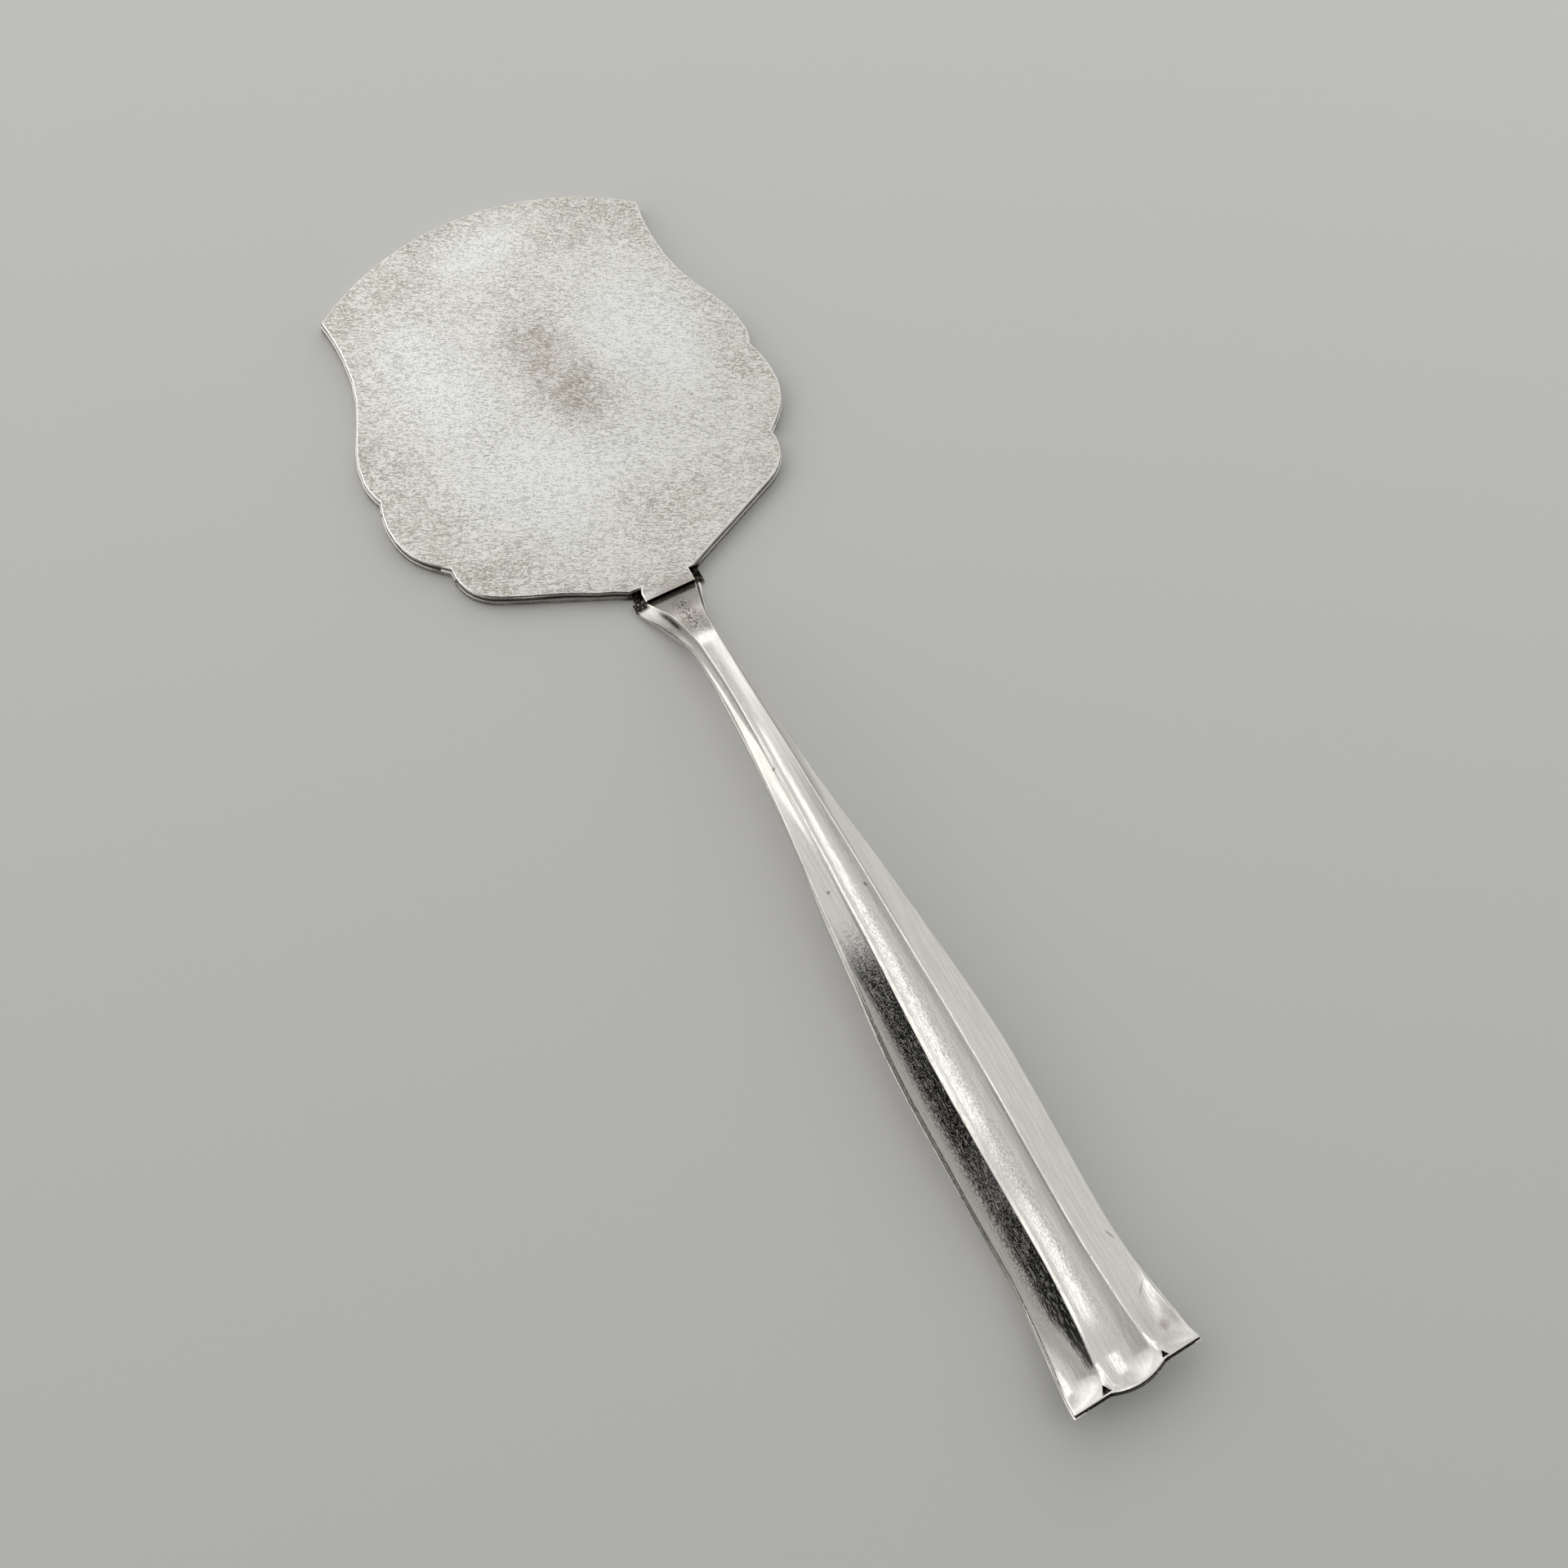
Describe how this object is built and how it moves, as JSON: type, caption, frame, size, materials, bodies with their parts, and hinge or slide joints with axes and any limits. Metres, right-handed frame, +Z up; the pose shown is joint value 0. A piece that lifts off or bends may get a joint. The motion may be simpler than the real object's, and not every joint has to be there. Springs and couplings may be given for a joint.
{
  "type": "serving spatula",
  "caption": "Serving spatula with a flat lobed blade on a shallow hollow tray and an arched hollow handle with fluted face and splayed end.",
  "frame": {"origin": "on the table, under the middle of the bounding box, with the spatula lying on its decorated front", "axes": "+Y along the handle's length towards the blade, +Z up out of the plain back, +X to the right seen from above with the blade pointing away"},
  "size_m": [0.0658, 0.2012, 0.0083],
  "materials": {
    "back_plate": "satin silver, worn, with tarnish in the edges",
    "front_sheet": "satin silver, tarnished",
    "upper_shell": "worn polished silver with tarnish in the flutes",
    "lower_shell": "worn polished silver"
  },
  "bodies": {
    "root": {"back_plate": "back_plate", "front_sheet": "front_sheet", "upper_shell": "upper_shell", "lower_shell": "lower_shell"}
  },
  "joints": []
}
